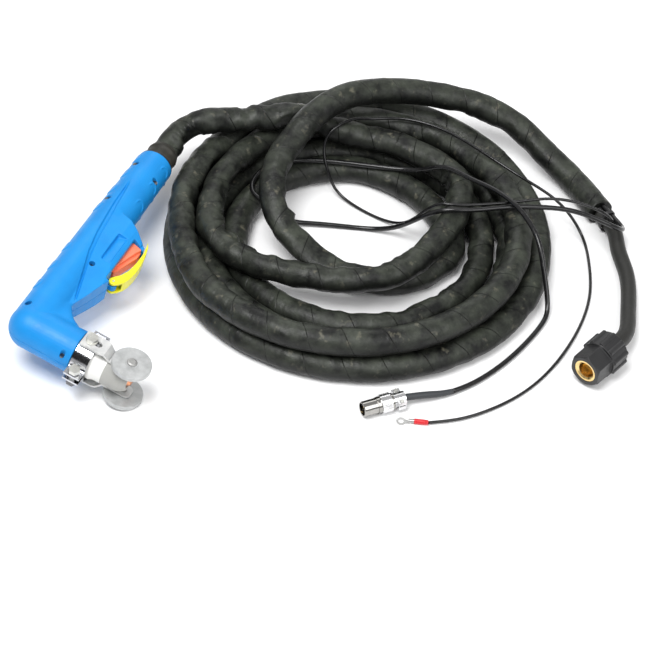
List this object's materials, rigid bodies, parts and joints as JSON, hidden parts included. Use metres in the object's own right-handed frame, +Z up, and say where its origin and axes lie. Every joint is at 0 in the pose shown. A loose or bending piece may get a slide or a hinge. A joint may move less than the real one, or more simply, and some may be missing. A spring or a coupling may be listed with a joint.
{
  "type": "plasma cutting torch",
  "caption": "Blue hand-held plasma cutting torch with a safety-covered trigger, a two-wheel roller guide and a long coiled black sleeved lead ending in a hose nut, a round plug and a ring terminal.",
  "frame": {"origin": "bottom centre of the torch's own box, measured without the lead and what hangs on it", "axes": "+X along the handle towards its rear end, -Y towards the cutting head, +Z up from the surface it lies on"},
  "size_m": [0.5417, 0.5329, 0.0985],
  "materials": {
    "blue_plastic": "moulded, satin gloss",
    "yellow_plastic": "moulded, gloss",
    "orange_plastic": "moulded, gloss",
    "red_plastic": "moulded, gloss",
    "white_plastic": "moulded, milky",
    "black_plastic": "moulded, fine grain",
    "brown_insulator": "machined",
    "black_sleeve": "rubberised wrapped cloth, worn shine",
    "black_rubber": "extruded, dull",
    "grey_rubber": "heat-shrunk",
    "grey_ceramic": "matt, turned",
    "polished_steel": "pressed and polished",
    "frosted_steel": "tumbled, frosted",
    "zinc_steel": "zinc plated",
    "dark_steel": "blackened",
    "chrome_ring": "plated, satin",
    "brass": "turned",
    "copper": "turned copper",
    "tinned_copper": "tinned"
  },
  "bodies": {
    "torch": {"handle_shell_upper": "blue_plastic", "handle_shell_lower": "blue_plastic", "handle_screws": "zinc_steel", "trigger_pin": "zinc_steel", "trigger_spring": "zinc_steel", "cover_pin": "zinc_steel", "cover_spring": "zinc_steel", "microswitch": "black_plastic", "switch_wires": "red_plastic", "handle_collar": "black_plastic", "sleeve_cuff": "black_sleeve", "power_gas_tube": "brass", "head_body": "black_plastic", "electrode_holder": "brass", "electrode": "copper", "swirl_ring": "brown_insulator", "nozzle": "copper", "retaining_cap": "white_plastic", "shield_cap": "grey_ceramic", "clamp_band_upper": "polished_steel", "clamp_band_lower": "polished_steel", "pinch_bolt": "zinc_steel", "pinch_nut": "dark_steel", "arm_bolts": "zinc_steel", "lead_in": "black_sleeve", "lead_coil": "black_sleeve", "lead_last_loop": "black_sleeve", "power_hose": "black_rubber", "control_cable": "black_rubber", "pilot_lead": "black_rubber", "cable_tie": "black_plastic", "connector_nipple": "brass", "connector_seal": "black_rubber", "plug_shell": "dark_steel", "plug_insert": "black_plastic", "plug_pins": "brass", "plug_clamp": "chrome_ring", "plug_clamp_screws": "zinc_steel", "plug_boot": "grey_rubber", "ring_terminal": "tinned_copper", "terminal_sleeve": "red_plastic"},
    "trigger": {"trigger": "orange_plastic"},
    "safety_cover": {"safety_cover": "yellow_plastic"},
    "switch_plunger": {"microswitch_plunger": "red_plastic"},
    "arm_upper": {"guide_arm_upper": "frosted_steel", "wheel_axle_upper": "zinc_steel"},
    "arm_lower": {"guide_arm_lower": "frosted_steel", "wheel_axle_lower": "zinc_steel"},
    "wheel_upper": {"guide_wheel_upper": "frosted_steel"},
    "wheel_lower": {"guide_wheel_lower": "frosted_steel"},
    "connector_nut": {"connector_nut": "black_plastic", "connector_insert": "brass"},
    "plug_ring": {"plug_coupling_ring": "chrome_ring"}
  },
  "joints": [
    {"name": "trigger_hinge", "type": "hinge", "parent": "torch", "child": "trigger", "pos_m": [-0.01731, 0.02585, 0.04331], "axis": [0, -0.2079, 0.9781], "range_deg": [0, 6.5], "stiffness_Nm_per_rad": 0.4, "springref_deg": -8.59},
    {"name": "cover_hinge", "type": "hinge", "parent": "torch", "child": "safety_cover", "pos_m": [-0.03231, 0.01362, 0.04071], "axis": [0, 0.2079, -0.9781], "range_deg": [0, 75], "stiffness_Nm_per_rad": 0.02, "springref_deg": -17.19},
    {"name": "switch_slide", "type": "slide", "parent": "torch", "child": "switch_plunger", "axis": [0, 0.9781, 0.2079], "range_m": [0, 0.0028]},
    {"name": "arm_upper_slide", "type": "slide", "parent": "torch", "child": "arm_upper", "axis": [0.0175, 0.978, 0.2079], "range_m": [0, 0.008]},
    {"name": "arm_lower_slide", "type": "slide", "parent": "torch", "child": "arm_lower", "axis": [0.0175, 0.978, 0.2079], "range_m": [0, 0.008]},
    {"name": "wheel_upper_spin", "type": "hinge", "parent": "arm_upper", "child": "wheel_upper", "pos_m": [-0.12611, -0.05391, 0.04828], "axis": [0, -0.2079, 0.9781], "continuous": true},
    {"name": "wheel_lower_spin", "type": "hinge", "parent": "arm_lower", "child": "wheel_lower", "pos_m": [-0.12611, -0.04499, 0.00632], "axis": [0, -0.2079, 0.9781], "continuous": true},
    {"name": "connector_nut_turn", "type": "hinge", "parent": "torch", "child": "connector_nut", "pos_m": [0.083, -0.4287, 0.02], "axis": [-0.9558, 0.294, 0], "continuous": true},
    {"name": "plug_ring_turn", "type": "hinge", "parent": "torch", "child": "plug_ring", "pos_m": [-0.03121, -0.27071, 0.0093], "axis": [-0.7302, 0.6833, 0], "continuous": true}
  ],
  "couplings": [
    {"joint": "switch_slide", "follows": "trigger_hinge", "m_per_rad": 0.0246}
  ]
}
